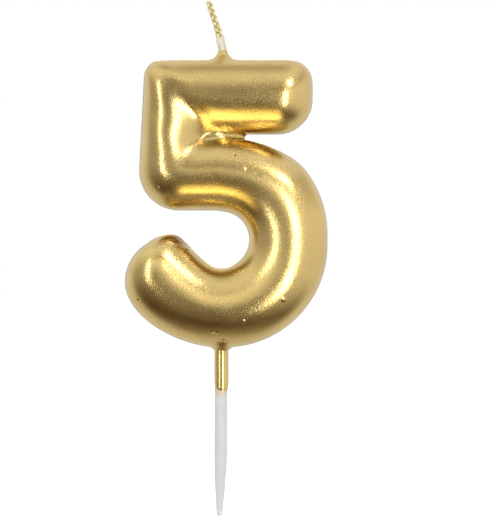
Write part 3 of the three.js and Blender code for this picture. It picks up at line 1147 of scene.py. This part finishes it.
def add_world():
    """A pale studio: white behind, brighter to the sides and above, and dim low in front."""
    nodes = Nodes(bpy.data.worlds.new("studio"), "Background")
    way = nodes.add("TexCoord").outputs["Generated"]
    x, y, z = nodes.add("SeparateXYZ", {0: way}).outputs
    left = nodes.maths("MULTIPLY", nodes.ramped(x, *LEFT_BY_X), nodes.ramped(z, *LEFT_BY_Z))
    right = nodes.maths("ADD", nodes.ramped(x, *RIGHT_BY_X), nodes.ramped(x, *FAR_RIGHT_BY_X))
    for fade in (RIGHT_FROM_BELOW, RIGHT_FROM_ABOVE):
        right = nodes.maths("MULTIPLY", right, nodes.ramped(z, *fade))
    sides = nodes.maths("ADD", left, right)
    sides = nodes.maths("MULTIPLY", sides, nodes.ramped(z, *SIDES_FROM_ABOVE))
    front = nodes.vector("ADD", nodes.banded(z, FRONT_BANDS), sides)
    dim = nodes.ramped(y, *BEHIND_DIMS)
    behind = nodes.vector("MULTIPLY", nodes.banded(z, BACK_BANDS), dim)
    lean = nodes.maths("MULTIPLY_ADD", z, LEAN_BY_Z, nodes.maths("MULTIPLY", x, LEAN_BY_X))
    seen = nodes.mixed(nodes.ramped(nodes.maths("ADD", lean, y), *BACK_BY_Y), front, behind)
    path = nodes.add("LightPath")
    share = nodes.maths("MULTIPLY_ADD", path.outputs["Is Diffuse Ray"], DIFFUSE_DIMS, 1.0)
    seen = nodes.vector("MULTIPLY", seen, share)
    nodes.set(Color=nodes.mixed(path.outputs["Is Camera Ray"], seen, (1, 1, 1, 1)))
    bpy.context.scene.world = nodes.owner


def add_floor(context):
    """The table under the pick's tip."""
    floor_z = PICK_BOX[0][2] - context.scene.candle_stage.floor_drop
    bm = bmesh.new()
    place = Matrix.Translation((0, 0, floor_z))
    bmesh.ops.create_grid(bm, x_segments=1, y_segments=1, size=FLOOR_REACH, matrix=place)
    floor = finished("floor", bm)
    floor.data.materials.append(floor_material(context))
    floor.visible_glossy = False


def add_camera(context):
    """A level camera straight in front, far enough away for the framed height."""
    stage = context.scene.candle_stage
    camera = bpy.data.cameras.new("camera")
    camera.lens = stage.lens
    eye = bpy.data.objects.new("camera", camera)
    context.scene.collection.objects.link(eye)
    distance = stage.framed * stage.lens / camera.sensor_width
    eye.location = Vector(stage.aim) - Vector((0, distance, 0))
    eye.rotation_euler = (math.radians(90), 0, 0)
    context.scene.camera = eye


class CANDLE_OT_stage(bpy.types.Operator):
    """Add the floor, the soft studio lights and the camera"""

    bl_idname = "candle.stage"
    bl_label = "Stage"

    def execute(self, context):
        add_floor(context)
        for name, lit, azimuth, elevation, distance, *light in LIGHTS:
            add_area(name, around(azimuth, elevation, distance, lit), lit, *light)
        for card in CARDS:
            add_card(*card)
        add_world()
        add_camera(context)
        context.scene.view_settings.view_transform = "Standard"
        return {"FINISHED"}


# ---- panel and registration ----


class CANDLE_PT_sidebar(bpy.types.Panel):
    """The candle's settings and the buttons that build it"""

    bl_idname = "CANDLE_PT_sidebar"
    bl_label = "Number Candle"
    bl_space_type = "VIEW_3D"
    bl_region_type = "UI"
    bl_category = "Candle"

    def draw(self, context):
        scene = context.scene
        for group in (scene.candle_sizes, scene.candle_colours, scene.candle_stage):
            box = self.layout.box()
            for name in group.__annotations__:
                box.prop(group, name)
        for operator in OPERATORS:
            self.layout.operator(operator.bl_idname)


GROUPS = {"candle_sizes": CandleSizes, "candle_colours": CandleColours, "candle_stage": CandleStage}
OPERATORS = (CANDLE_OT_coat, CANDLE_OT_core, CANDLE_OT_wick, CANDLE_OT_pick, CANDLE_OT_stage)


def register():
    for kind in (*GROUPS.values(), *OPERATORS, CANDLE_PT_sidebar):
        bpy.utils.register_class(kind)
    for name, group in GROUPS.items():
        setattr(bpy.types.Scene, name, bpy.props.PointerProperty(type=group))


def unregister():
    for name in GROUPS:
        delattr(bpy.types.Scene, name)
    for kind in (CANDLE_PT_sidebar, *reversed(OPERATORS), *reversed(GROUPS.values())):
        bpy.utils.unregister_class(kind)


def main():
    register()
    bpy.ops.candle.coat()
    bpy.ops.candle.core()
    bpy.ops.candle.wick()
    bpy.ops.candle.pick()
    bpy.ops.candle.stage()


if __name__ == "__main__":
    main()
